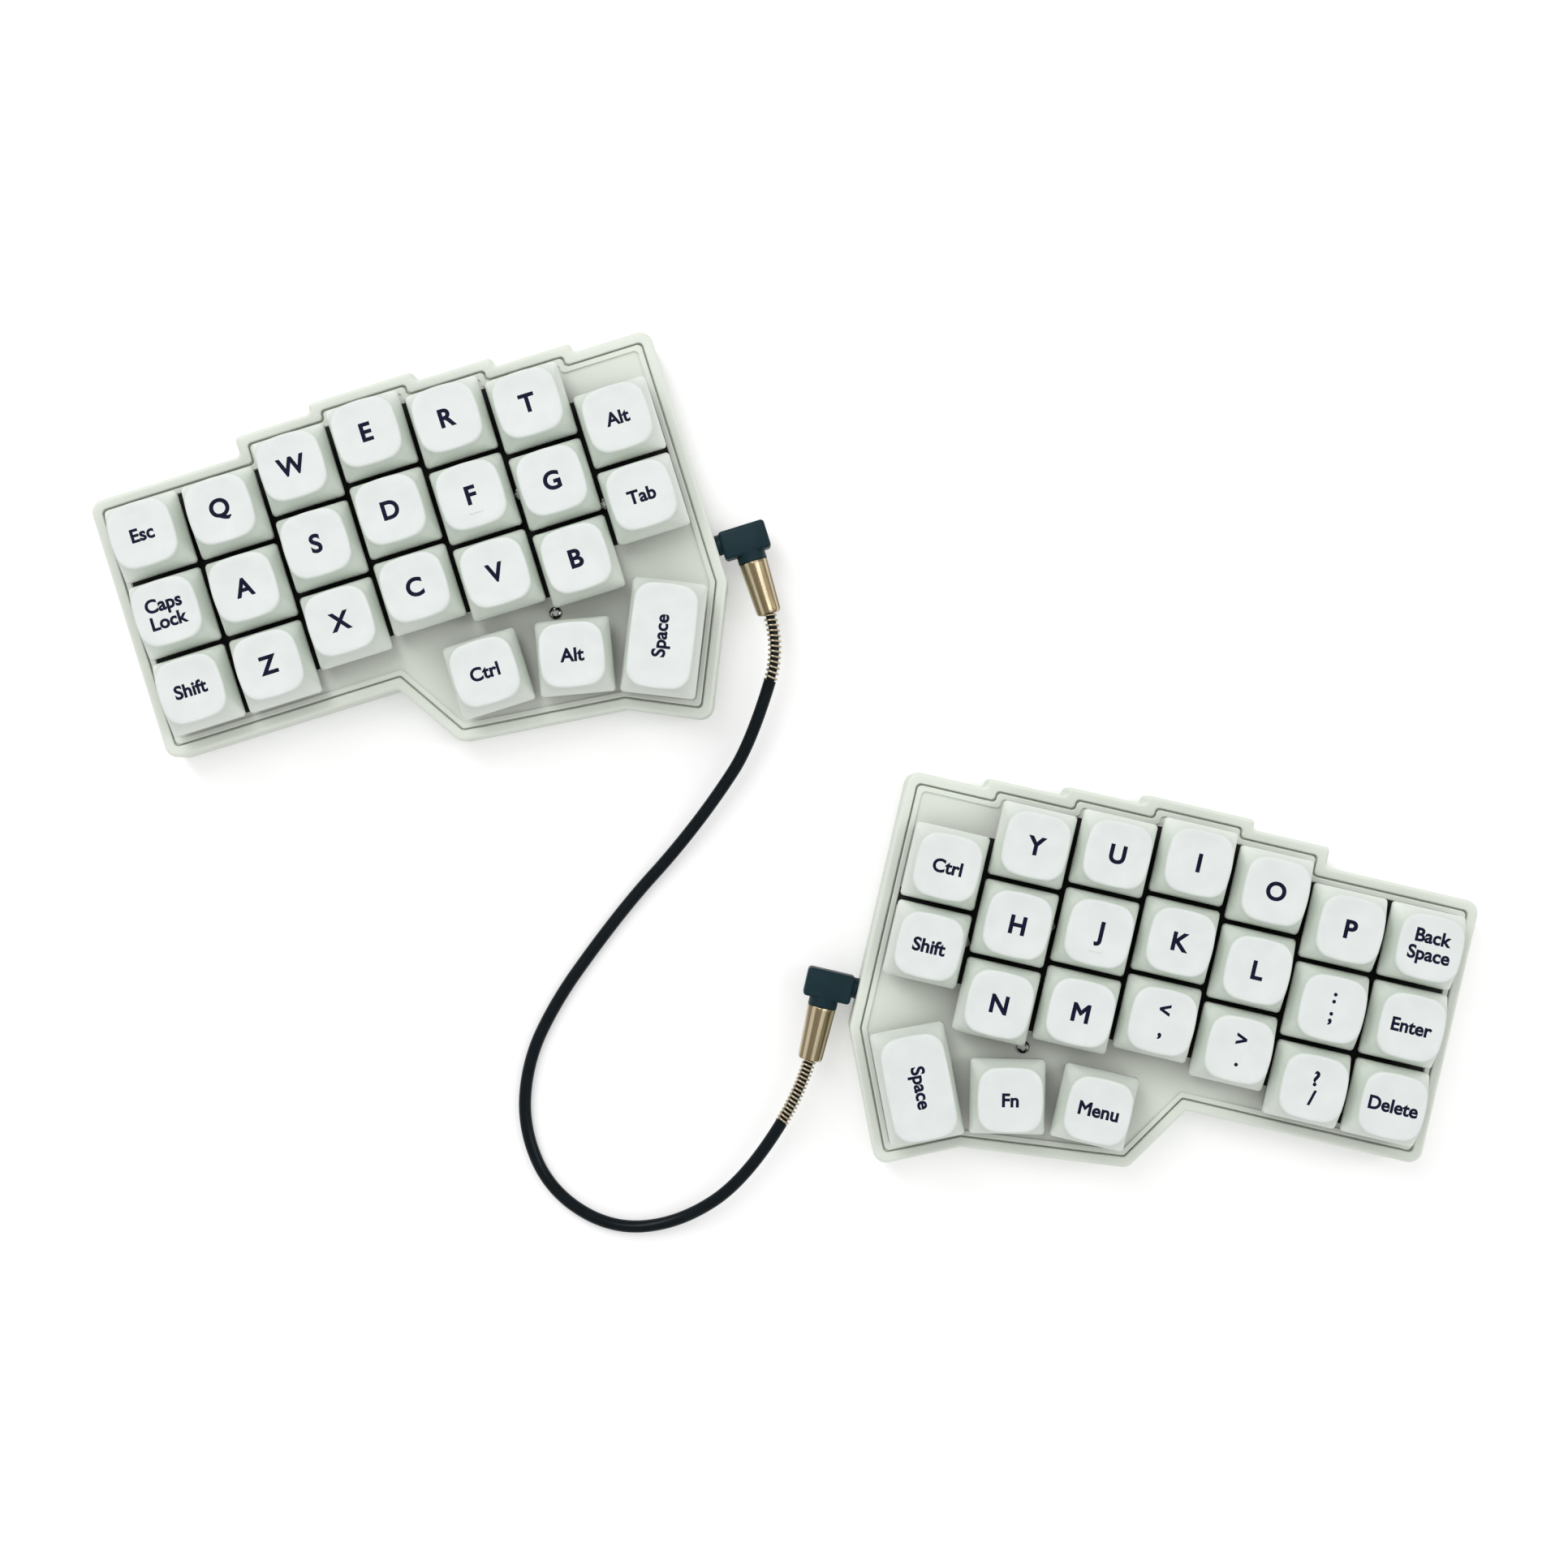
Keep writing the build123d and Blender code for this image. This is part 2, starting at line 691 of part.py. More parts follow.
def cord_path():
    """Straight runs joined by tangent arcs, each as large as its two runs allow."""
    points = [Vector(*point) for point in cord_route]
    radii = []
    for before, corner, after in zip(points, points[1:], points[2:]):
        first, second = corner - before, after - corner
        half_turn = radians(first.get_angle(second)) / 2
        radii.append(cord_arc_share * min(first.length, second.length) * cos(half_turn) / sin(half_turn))
    return FilletPolyline(*points, radius=radii), radii


def tube(path, diameter):
    """Round tube along a path of runs and tangent arcs."""
    section = Plane(path @ 0, z_dir=path % 0) * Circle(diameter / 2)
    return sweep(section, path=path)


def cord_bends():
    """Bends of the cord inside the left and the right spring."""
    ends = (
        (Vector(*cord_route[0]), Vector(*cord_route[1])),
        (Vector(*cord_route[-1]), Vector(*cord_route[-2])),
    )
    bends = []
    for half, (end, next_point) in zip(halves, ends):
        bends.append(bend_path(half, end, (next_point - end).normalized()))
    return bends


def patch_cord():
    """Jacketed free stretch with the bare core running on inside both springs."""
    path, radii = cord_path()
    jacket = tube(path, cord_diameter)
    print("cord: free length", round(path.length, 1), "radii", [round(radius, 1) for radius in radii])
    plain_volume = pi * (cord_diameter / 2) ** 2 * path.length
    print("cord: volume over section times length", round(jacket.volume / plain_volume, 4))
    cord = jacket
    for bend in cord_bends():
        cord += tube(bend, core_diameter)
    return cord


def save(node, solids):
    """Write one node as its separate solids."""
    shape = solids[0] if len(solids) == 1 else Compound(children=list(solids))
    shape.label = node
    export_step(shape, os.path.join("parts", node + ".step"))


def main():
    os.makedirs("parts", exist_ok=True)
    keys = list_keys()
    for half in halves:
        save(half.name + "_case", [case(half)])
        save(half.name + "_top_shell", [top_shell(half)])
    save("circuit_boards", [make(half) for half in halves for make in (circuit_board, controller_chip)])
    save("port_sockets", [make(half) for half in halves for make in (patch_socket, data_socket)])
    save("case_screws", [screw(spot) for half in halves for spot in screw_spots(half)])
    save("rubber_feet", [foot(spot) for half in halves for spot in foot_spots(half)])
    save("angled_plugs", [make(half) for half in halves for make in (moulded_plug, contact_shaft)])
    save("plug_sleeves", [plug_sleeve(half) for half in halves])
    bends_and_turns = zip(cord_bends(), (strain_turns_left, strain_turns_right))
    save("strain_springs", [strain_spring(bend, turns) for bend, turns in bends_and_turns])
    save("patch_cord", [patch_cord()])
    housing, spring, stem = switch_housing(), switch_spring(), slider()
    save("switch_housings", [key_location(key, 0) * housing for key in keys])
    save("switch_springs", [key_location(key, 0) * spring for key in keys])
    for key in keys:
        save(key.node, [key_location(key, cap_base) * keycap(key), key_location(key, 0) * stem])


main()
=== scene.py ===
from collections import namedtuple
from math import cos, pi, radians, sin

import bmesh
import bpy
from mathutils import Matrix, Vector


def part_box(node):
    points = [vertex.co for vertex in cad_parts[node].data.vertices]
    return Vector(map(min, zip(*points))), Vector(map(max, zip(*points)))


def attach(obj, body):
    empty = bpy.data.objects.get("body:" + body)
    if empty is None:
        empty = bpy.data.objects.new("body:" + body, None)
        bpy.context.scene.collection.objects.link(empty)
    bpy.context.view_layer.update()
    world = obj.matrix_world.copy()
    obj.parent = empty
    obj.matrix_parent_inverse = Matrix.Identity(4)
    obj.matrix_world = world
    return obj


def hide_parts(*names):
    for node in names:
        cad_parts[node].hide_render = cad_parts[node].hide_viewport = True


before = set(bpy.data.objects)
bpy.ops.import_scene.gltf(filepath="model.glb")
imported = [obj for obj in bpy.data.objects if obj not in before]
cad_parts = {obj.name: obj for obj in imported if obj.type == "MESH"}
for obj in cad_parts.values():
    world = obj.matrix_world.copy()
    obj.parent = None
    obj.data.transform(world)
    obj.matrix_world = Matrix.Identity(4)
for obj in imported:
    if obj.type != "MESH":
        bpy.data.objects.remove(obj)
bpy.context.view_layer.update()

scene = bpy.context.scene
mm = 0.001
quarter_turn = radians(90)

# View: straight down from over the middle of the picture. The picture's width is in pixels, the
# sensor's in millimetres, and the reach in metres.
image_width = 1932
key_top_pixels_per_mm = 5.267
camera_over_key_tops = 589 * mm
camera_place = (-0.23 * mm, -8.24 * mm)
camera_sensor = 36
camera_reach = 10

# Floor and light, in metres and watts: lamps as name, place, width and length, and power
floor_reach = 2.5
floor_shade = 0.9
floor_roughness = 0.9
floor_glow = 0.26
studio_level = 0.66
lamps = (
    ("key_lamp", (-0.55, 0.75, 1.15), (0.5, 1.3), 7.5),
    ("fill_lamp", (0.95, 0.1, 1.0), (0.3, 1.3), 2.6),
)

# The halves: where the outer key of the upper row stands, the turn in degrees, and 1 or -1 as the
# rows run inwards to the right or to the left. In a half's own frame u runs inwards along the
# rows and v up the columns.
Half = namedtuple("Half", "place turn side")
left_half = Half((-150.49 * mm, 50.34 * mm), 17.35, 1)
right_half = Half((151.02 * mm, -46.67 * mm), -13.11, -1)
halves = (left_half, right_half)

# Key grid of a half: columns from the outer one inwards, with their stagger and rows, and how far
# the thumb keys turn towards the other half, in degrees
key_pitch = 19.05 * mm
column_stagger_shares = (0, 0, 0.25, 0.375, 0.25, 0.125, -0.375)
column_rows = (3, 3, 3, 3, 3, 3, 2)
thumb_turns = (0, 12, 24)
long_key_extra = 9.525 * mm

# Painted shade on strips of the plate under the gaps between caps: how far their ends stay back
# from the caps' corners, more at the front, and how a face of the plate's upper side is known
Strip = namedtuple("Strip", "low_u high_u low_v high_v")
plate_top = 13.6 * mm
strip_end_inset = 0.6 * mm
strip_front_inset = 1.7 * mm
strip_half_width = 2.2 * mm
plate_least_normal = 0.99
plate_level_reach = 0.02 * mm

# Cord, repeated from the solids; the points are in millimetres
cord_diameter = 3.0 * mm
core_diameter = 2.1 * mm
cord_side_steps = 6
cord_run_steps = 16
cord_route = (
    (-3.6, 16.8, 8.3),
    (-8.2, 1.6, 6.9),
    (-17.2, -12.2, 4.9),
    (-27.2, -25.0, 3.0),
    (-36.7, -35.4, 1.9),
    (-46.3, -47.7, 1.6),
    (-55.8, -61.1, 1.55),
    (-62.8, -75.5, 1.55),
    (-64.2, -91.9, 1.55),
    (-57.6, -107.7, 1.55),
    (-42.4, -117.2, 1.8),
    (-25.4, -115.3, 3.1),
    (-9.2, -104.0, 6.9),
    (-0.8, -90.1, 8.3),
)
sleeve_ends = ((-3.75, 32.91, 9.0), (5.97, -74.91, 9.0))

# Bare stretches inside the strain springs: name, sleeve's end, jacket's end, jacket's next point
bare_stretches = (
    ("left_cord_core", sleeve_ends[0], cord_route[0], cord_route[1]),
    ("right_cord_core", sleeve_ends[1], cord_route[-1], cord_route[-2]),
)

# Strain springs
spring_turns = (13, 16)
spring_radius = 1.375 * mm
spring_wire = 0.58 * mm
spring_steps_per_turn = 28
spring_wire_sides = 10

# Sleeves between plug and spring, in millimetres: outline as radius and distance from the plug,
# and the soft flutes of the wide part, which deepen over a short run-in
sleeve_length = 13.2
sleeve_outline = (
    (3.1, 0.0), (3.32, 0.06), (3.43, 0.25), (3.4, 0.8), (3.24, 5.0), (3.09, 9.0), (2.97, 12.1),
    (2.93, 12.45), (2.82, 12.8), (2.62, 13.05), (2.35, 13.17), (2.05, 13.2),
    (1.85, 13.12), (1.75, 12.9), (1.72, 11.5),
)
sleeve_sides = 72
flute_count = 8
flute_depth = 0.1
flute_run_in = 2
fluted_from_radius = 2.9
# Where the painted reflection band across each flute runs from dark to light
reflection_band_start, reflection_band_end = 0.0, 0.75

# Screws: places in each half in shares of the key pitch, and the outline in millimetres as radius
# and height over the plate, from the six-sided socket's floor over the dome down to the shaft
screw_place_shares = ((0.5, 0), (0.5, -2), (4.5, -0.8125), (4.51, -2.377), (5.5, -1.25))
screw_bottom = 3.5 * mm
screw_outline = (
    (0.75, 0.55), (0.75, 1.02), (0.9, 1.12), (1.2, 1.06), (1.42, 0.88), (1.56, 0.6), (1.6, 0.3),
    (1.6, 0.0), (1.0, 0.0), (1.0, (screw_bottom - plate_top) / mm),
)
screw_steps = 36
socket_sides = 6
socket_points = 2

# Keycap form
cap_width = 18.0 * mm
cap_height = 9.1 * mm
cap_crown_width = 14.1 * mm
cap_crown_swell = 1.15 * mm
cap_crown_height = 0.85 * mm
cap_base_radius = 0.9 * mm
cap_crown_radius = 4.3 * mm
cap_side_bulge = 0.16 * mm
cap_dish_depth = 0.35 * mm
cap_edge = 0.15 * mm
cap_mouth_width = 15.4 * mm
cap_roof_width = 12.0 * mm
cap_roof = 1.7 * mm
dish_rim_share = 0.9
white_share = 0.45
skirt_cloud_share = 0.12
skirt_steps = 8
crown_steps = 8
dish_steps = 10

# Homing bar near the front edge of a cap
homing_bar_size = (3.6 * mm, 0.6 * mm, 0.4 * mm)
homing_bar_front = 4.15 * mm
homing_bar_rise = 0.12 * mm
homing_bar_rounding = 0.14 * mm
homing_bar_steps = 3

# Finishes of a key, in the order in which its mesh holds them
top_finish, skirt_finish, print_finish, slider_finish, inside_finish = range(5)

# Shading of rounded solids
weld_distance = 0.001 * mm
crease_angle = radians(32)

# Lettering
letter_height = 4.1 * mm
word_height = 3.0 * mm
sign_height = 3.3 * mm
letter_rise = 0.02 * mm
font_cap_share = 0.682
letter_weight_share = 0.033
line_spacing_share = 0.95
letter_edge_steps = 2
letter_curve_steps = 6
legends = {
    "esc": "Esc", "caps_lock": "Caps\nLock", "left_shift": "Shift",
    "left_alt": "Alt", "tab": "Tab",
    "thumb_ctrl": "Ctrl", "thumb_alt": "Alt", "left_space": "Space",
    "back_space": "Back\nSpace", "enter": "Enter", "delete": "Delete",
    "semicolon": ":\n;", "slash": "?\n/", "period": ">\n.", "comma": "<\n,",
    "right_ctrl": "Ctrl", "right_shift": "Shift",
    "thumb_menu": "Menu", "thumb_fn": "Fn", "right_space": "Space",
}
sign_keys = ("semicolon", "slash", "period", "comma")
homing_keys = ("f", "j")
thumb_keys = (("thumb_ctrl", "thumb_menu"), ("thumb_alt", "thumb_fn"), ("left_space", "right_space"))

# Shades of the finishes as on screen, 0 to 255: each pattern runs from the first to the second
paint_shades = ((230, 236, 225), (234, 240, 229))
# Painted shade: near-black colour of the plate strips under the gaps between caps
gap_painted_shade_tones = ((36, 39, 37), (44, 47, 45))
top_shades = ((228, 233, 231), (233, 238, 236))
# Sage skirt, paler at the lower edge as painted light against the shade between caps
skirt_painted_light_tones = ((246, 251, 244), (224, 231, 223))
print_shades = ((8, 9, 40), (12, 14, 48))
slider_shades = ((96, 30, 28), (112, 36, 34))
# Painted shade: the caps' insides, dark so that the gaps between caps stay dark
inside_painted_shade_tones = ((46, 52, 48), (56, 62, 58))
jacket_shades = ((3, 13, 18), (5, 18, 24))
plug_shades = ((5, 38, 46), (9, 44, 52))
plating_shades = ((190, 177, 150), (203, 191, 165))
# Dark and light of the painted reflection bands on the sleeves' flutes
flute_painted_reflection_tones = ((146, 129, 100), (226, 212, 180))
bright_steel_shades = ((190, 192, 196), (206, 208, 211))
dark_steel_shades = ((150, 153, 150), (172, 175, 172))
board_shades = ((14, 40, 30), (22, 60, 44))
housing_shades = ((20, 22, 26), (28, 31, 36))
foot_shades = ((24, 25, 26), (34, 35, 36))

# How far the grain of the dark plastics takes their roughness down and up
dark_gloss_spread = (0.06, 0.08)


def add_object(name, data, materials=()):
    """Put a mesh or curve into the scene with its materials."""
    thing = bpy.data.objects.new(name, data)
    scene.collection.objects.link(thing)
    for material in materials:
        data.materials.append(material)
    return thing


def close_mesh(bm, name):
    """Plain mesh of what was built, which is then let go."""
    mesh = bpy.data.meshes.new(name)
    bm.to_mesh(mesh)
    bm.free()
    return mesh


def stand_in(piece, node_name, body):
    """Let a finished piece ride on a body in the place of a solid."""
    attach(piece, body)
    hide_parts(node_name)
    return piece


def half_axes(half):
    """Start of a half's own frame, and its directions u and v."""
    turned = Matrix.Rotation(radians(half.turn), 3, "Z")
    return Vector((*half.place, 0)), turned @ Vector((half.side, 0, 0)), turned @ Vector((0, 1, 0))


def place_camera():
    """Camera looking straight down, with the photographed scale at the key tops."""
    half_view = image_width / 2 / key_top_pixels_per_mm * mm
    data = bpy.data.cameras.new("camera")
    data.sensor_width = camera_sensor
    data.lens = data.sensor_width / 2 * camera_over_key_tops / half_view
    data.clip_end = camera_reach
    camera = add_object("camera", data)
    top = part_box("q_key")[1][2]
    camera.location = (*camera_place, top + camera_over_key_tops)
    scene.camera = camera


def make_floor():
    """Pale floor that shows white and keeps the object's shadow."""
    bm = bmesh.new()
    signs = ((-1, -1), (1, -1), (1, 1), (-1, 1))
    bm.faces.new([bm.verts.new((x * floor_reach, y * floor_reach, 0)) for x, y in signs])
    material = bpy.data.materials.new("floor_white")
    material.use_nodes = True
    nodes, links = material.node_tree.nodes, material.node_tree.links
    shader = nodes["Principled BSDF"]
    shader.inputs["Base Color"].default_value = (floor_shade, floor_shade, floor_shade, 1)
    shader.inputs["Roughness"].default_value = floor_roughness
    shader.inputs["Specular IOR Level"].default_value = 0.0
    light_path = nodes.new("ShaderNodeLightPath")
    strength = nodes.new("ShaderNodeMath")
    strength.operation = "MULTIPLY"
    strength.inputs[1].default_value = floor_glow
    links.new(light_path.outputs["Is Camera Ray"], strength.inputs[0])
    shader.inputs["Emission Color"].default_value = (1, 1, 1, 1)
    links.new(strength.outputs["Value"], shader.inputs["Emission Strength"])
    add_object("floor", close_mesh(bm, "floor"), (material,))


def light_scene():
    """Even studio light from above, with long soft lamps, a little stronger from the upper left."""
    world = bpy.data.worlds.new("studio")
    scene.world = world
    world.use_nodes = True
    background = world.node_tree.nodes["Background"]
    background.inputs["Color"].default_value = (1, 1, 1, 1)
    background.inputs["Strength"].default_value = studio_level
    for name, place, size, watts in lamps:
        data = bpy.data.lights.new(name, "AREA")
        data.shape = "RECTANGLE"
        data.size, data.size_y = size
        data.energy = watts
        lamp = add_object(name, data)
        lamp.location = place
        lamp.rotation_euler = (-Vector(place)).to_track_quat("-Z", "Y").to_euler()
    scene.view_settings.view_transform = "Standard"


class Shader:
    """Small helper that builds one principled material."""

    def __init__(self, name, roughness, metallic=0.0, coat=0.0, specular=0.5):
        self.material = bpy.data.materials.new(name)
        self.material.use_nodes = True
        self.tree = self.material.node_tree
        self.shader = self.tree.nodes["Principled BSDF"]
        self.shader.inputs["Roughness"].default_value = roughness
        self.shader.inputs["Metallic"].default_value = metallic
        self.shader.inputs["Coat Weight"].default_value = coat
        self.shader.inputs["Specular IOR Level"].default_value = specular
        self.coordinates = self.tree.nodes.new("ShaderNodeTexCoord").outputs["Object"]

    def noise(self, scale, detail, stretch=None):
        """Cloudy pattern of so many waves to a metre, stretched along an axis if asked."""
        node = self.tree.nodes.new("ShaderNodeTexNoise")
        node.inputs["Scale"].default_value = scale
        node.inputs["Detail"].default_value = detail
        source = self.coordinates
        if stretch:
            mapping = self.tree.nodes.new("ShaderNodeMapping")
            mapping.inputs["Scale"].default_value = stretch
            self.tree.links.new(source, mapping.inputs["Vector"])
            source = mapping.outputs["Vector"]
        self.tree.links.new(source, node.inputs["Vector"])
        return node.outputs["Fac"]

    def colour(self, shades, factor, low=0.35, high=0.65):
        """Colour that runs between two shades as the factor goes from low to high."""
        ramp = self.tree.nodes.new("ShaderNodeValToRGB")
        for element, shade, position in zip(ramp.color_ramp.elements, shades, (low, high)):
            element.position = position
            element.color = (*linear(shade), 1)
        self.tree.links.new(factor, ramp.inputs["Fac"])
        self.tree.links.new(ramp.outputs["Color"], self.shader.inputs["Base Color"])

    def roughness(self, low, high, factor):
        """Gloss that varies with the factor."""
        spread = self.tree.nodes.new("ShaderNodeMapRange")
        spread.inputs["To Min"].default_value = low
        spread.inputs["To Max"].default_value = high
        self.tree.links.new(factor, spread.inputs["Value"])
        self.tree.links.new(spread.outputs["Result"], self.shader.inputs["Roughness"])

    def maths(self, operation, first, second=0.0):
        """Result of an operation on a socket, with a number or a second socket."""
        node = self.tree.nodes.new("ShaderNodeMath")
        node.operation = operation
        self.tree.links.new(first, node.inputs[0])
        if isinstance(second, bpy.types.NodeSocket):
            self.tree.links.new(second, node.inputs[1])
        else:
            node.inputs[1].default_value = second
        return node.outputs["Value"]

    def split(self):
        """The coordinates as separate X, Y and Z."""
        node = self.tree.nodes.new("ShaderNodeSeparateXYZ")
        self.tree.links.new(self.coordinates, node.inputs["Vector"])
        return node.outputs

    def bump(self, height, strength, depth):
        """Raise the surface a little with a pattern."""
        node = self.tree.nodes.new("ShaderNodeBump")
        node.inputs["Strength"].default_value = strength
        node.inputs["Distance"].default_value = depth
        self.tree.links.new(height, node.inputs["Height"])
        self.tree.links.new(node.outputs["Normal"], self.shader.inputs["Normal"])

    def grain(self, scale, low, high, strength, depth):
        """Fine moulded or sprayed grain, which varies the gloss too."""
        pattern = self.noise(scale, detail=4)
        self.roughness(low, high, pattern)
        self.bump(pattern, strength, depth)


def linear(colour):
    """Linear light of a colour given as on screen, 0 to 255."""
    shares = (value / 255 for value in colour)
    return tuple(s / 12.92 if s <= 0.04045 else ((s + 0.055) / 1.055) ** 2.4 for s in shares)


def painted_shell():
    """Satin sage paint with a very fine orange peel."""
    paint = Shader("sage_paint", roughness=0.42, coat=0.15)
    paint.colour(paint_shades, paint.noise(scale=60, detail=2))
    paint.grain(scale=2600, low=0.36, high=0.5, strength=0.12, depth=0.04 * mm)
    return paint.material


def cap_grain(plastic):
    """Fine texture of keycap plastic."""
    plastic.grain(scale=5200, low=0.44, high=0.6, strength=0.14, depth=0.03 * mm)


def cap_top_plastic():
    """Finely textured white plastic of the caps' tops."""
    plastic = Shader("cap_white", roughness=0.5)
    plastic.colour(top_shades, plastic.noise(scale=180, detail=3))
    cap_grain(plastic)
    return plastic.material


def cap_skirt_plastic():
    """The same plastic in sage, painted paler towards the cap's lower edge: painted light that offsets the
    shade between the caps.
    """
    plastic = Shader("cap_sage", roughness=0.5)
    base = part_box("q_key")[1][2] - cap_height
    # Height up the cap, which sets how much painted light the lower skirt gets
    share = plastic.maths("DIVIDE", plastic.maths("SUBTRACT", plastic.split()["Z"], base), cap_height)
    cloud = plastic.maths("MULTIPLY", plastic.noise(scale=180, detail=3), skirt_cloud_share)
    plastic.colour(skirt_painted_light_tones, plastic.maths("ADD", share, cloud), low=0.0, high=0.95)
    cap_grain(plastic)
    return plastic.material


def legend_ink():
    """Dark navy print."""
    ink = Shader("navy_print", roughness=0.5, specular=0.12)
    ink.colour(print_shades, ink.noise(scale=400, detail=3))
    ink.bump(ink.noise(scale=5200, detail=4), strength=0.1, depth=0.02 * mm)
    return ink.material


def spring_plating():
    """Polished champagne plating with fine drawn marks."""
    metal = Shader("champagne_plating", roughness=0.2, metallic=1.0)
    metal.colour(plating_shades, metal.noise(scale=300, detail=2))
    metal.roughness(0.16, 0.26, metal.noise(scale=3000, detail=3))
    return metal.material


def sleeve_plating():
    """The same plating over fine marks that run round each sleeve, with a painted reflection band on each
    flute.
    """
    metal = Shader("champagne_turned", roughness=0.22, metallic=1.0)
    around = metal.tree.nodes.new("ShaderNodeUVMap")
    around.uv_map = "turning"
    metal.coordinates = around.outputs["UV"]
    # Painted reflection: a dark and a light band across each flute
    reflection_flank = metal.maths("SINE", metal.maths("MULTIPLY", metal.split()["X"], 2 * pi * flute_count))
    metal.colour(flute_painted_reflection_tones, reflection_flank, reflection_band_start, reflection_band_end)
    marks = metal.noise(scale=1.0, detail=2, stretch=(1, 260, 1))
    metal.roughness(0.2, 0.3, marks)
    metal.bump(marks, strength=0.25, depth=0.05 * mm)
    return metal.material


def steel(name, shades, roughness, strength):
    """Steel with faint brushing."""
    metal = Shader(name, roughness, metallic=1.0)
    metal.colour(shades, metal.noise(scale=700, detail=2))
    metal.bump(metal.noise(scale=4000, detail=3), strength, depth=0.02 * mm)
    return metal.material


def dark_plastic(name, shades, roughness, coat=0.0, specular=0.5):
    """Dark moulded plastic or rubber with a fine grain."""
    finer, coarser = dark_gloss_spread
    plastic = Shader(name, roughness, coat=coat, specular=specular)
    plastic.colour(shades, plastic.noise(scale=260, detail=3))
    low, high = roughness - finer, roughness + coarser
    plastic.grain(scale=3600, low=low, high=high, strength=0.12, depth=0.04 * mm)
    return plastic.material


def board_lacquer():
    """Dark green lacquer with faint track lines."""
    lacquer = Shader("board_lacquer", roughness=0.35, coat=0.4)
    tracks = lacquer.noise(scale=420, detail=1, stretch=(1, 8, 1))
    lacquer.colour(board_shades, tracks, low=0.48, high=0.52)
    return lacquer.material


def ring(width, length, radius, bulge, z, side_steps=8, corner_steps=10):
    """Points of a rounded rectangle with slightly bulged sides."""
    points = []
    half_w, half_l = width / 2, length / 2
    for corner in range(4):
        middle = quarter_turn * corner
        along_x = corner % 2 == 0
        reach = half_w if along_x else half_l
        run = (half_l if along_x else half_w) - radius
        out = Vector((cos(middle), sin(middle)))
        side = Vector((-sin(middle), cos(middle)))
        for step in range(side_steps):
            share = step / side_steps * 2 - 1
            swell = bulge * (1 - share * share)
            point = out * (reach + swell) + side * run * share
            points.append((point.x, point.y, z))
        heart = out * (reach - radius) + side * run
        for step in range(corner_steps):
            angle = middle + quarter_turn * step / corner_steps
            point = heart + Vector((cos(angle), sin(angle))) * radius
            points.append((point.x, point.y, z))
    return points


def dish_height(x, y, extra):
    """Height of a cap's top over its base at a place, where the cap is longer by the extra."""
    reach_x = cap_crown_width / 2
    reach_y = (cap_crown_width + extra) / 2
    share = min(1.0, dish_rim_share * ((x / reach_x) ** 2 + (y / reach_y) ** 2))
    return cap_height - cap_dish_depth * (1 - share)


def cap_rings(extra):
    """Outer rings from the skirt's edge over the crown into the dish, and whether each is white."""
    shoulder_width = cap_crown_width + cap_crown_swell
    shoulder_z = cap_height - cap_crown_height
    rings = []

    def add(width, radius, bulge, z, white):
        rings.append((ring(width, width + extra, radius, bulge, z), white))

    add(cap_width - 2 * cap_edge, cap_base_radius, 0, 0, False)
    for step in range(skirt_steps + 1):
        share = step / skirt_steps
        z = cap_edge + (shoulder_z - cap_edge) * share
        width = cap_width + (shoulder_width - cap_width) * share
        radius = cap_base_radius + (cap_crown_radius - cap_base_radius) * share
        add(width, radius, cap_side_bulge * share, z, False)
    for step in range(1, crown_steps + 1):
        angle = quarter_turn * step / crown_steps
        width = cap_crown_width + cap_crown_swell * cos(angle)
        z = shoulder_z + cap_crown_height * sin(angle)
        add(width, cap_crown_radius, cap_side_bulge, z, cos(angle) < white_share)
    flat = ring(cap_crown_width, cap_crown_width + extra, cap_crown_radius, cap_side_bulge, 0)
    for step in range(1, dish_steps):
        share = 1 - step / dish_steps
        shrunk = [(x * share, y * share) for x, y, _ in flat]
        rings.append(([(x, y, dish_height(x, y, extra)) for x, y in shrunk], True))
    return rings


def bridge(bm, lower, upper, finish):
    """Smooth faces between two rings of vertices."""
    count = len(lower)
    for index in range(count):
        after = (index + 1) % count
        face = bm.faces.new((lower[index], lower[after], upper[after], upper[index]))
        face.material_index = finish
        face.smooth = True


def add_cap(bm, extra):
    """Closed cap: skirt, crown, dish and hollow."""
    rows = [([bm.verts.new(point) for point in points], white) for points, white in cap_rings(extra)]
    for (lower, _), (upper, white) in zip(rows, rows[1:]):
        bridge(bm, lower, upper, top_finish if white else skirt_finish)
    centre = bm.verts.new((0, 0, dish_height(0, 0, extra)))
    last = rows[-1][0]
    for index in range(len(last)):
        face = bm.faces.new((last[index], last[(index + 1) % len(last)], centre))
        face.material_index = top_finish
        face.smooth = True

    def hollow_ring(width, z):
        return [bm.verts.new(point) for point in ring(width, width + extra, cap_base_radius, 0, z)]

    mouth = hollow_ring(cap_mouth_width, 0)
    roof = hollow_ring(cap_roof_width, cap_height - cap_roof)
    # The hollow takes the painted shade of the inside
    bridge(bm, mouth, rows[0][0], inside_finish)
    bridge(bm, roof, mouth, inside_finish)
    face = bm.faces.new(list(reversed(roof)))
    face.material_index = inside_finish


def letter_mesh(text, height):
    """Flat letters of a legend, a little raised, as a mesh."""
    data = bpy.data.curves.new("legend", "FONT")
    data.body = text
    data.size = height / font_cap_share
    data.align_x = "CENTER"
    data.space_line = line_spacing_share
    data.extrude = letter_rise
    data.bevel_depth = letter_weight_share * data.size
    data.bevel_resolution = letter_edge_steps
    data.resolution_u = letter_curve_steps
    thing = add_object("legend", data)
    bpy.context.view_layer.update()
    mesh = bpy.data.meshes.new_from_object(thing)
    bpy.data.objects.remove(thing)
    return mesh


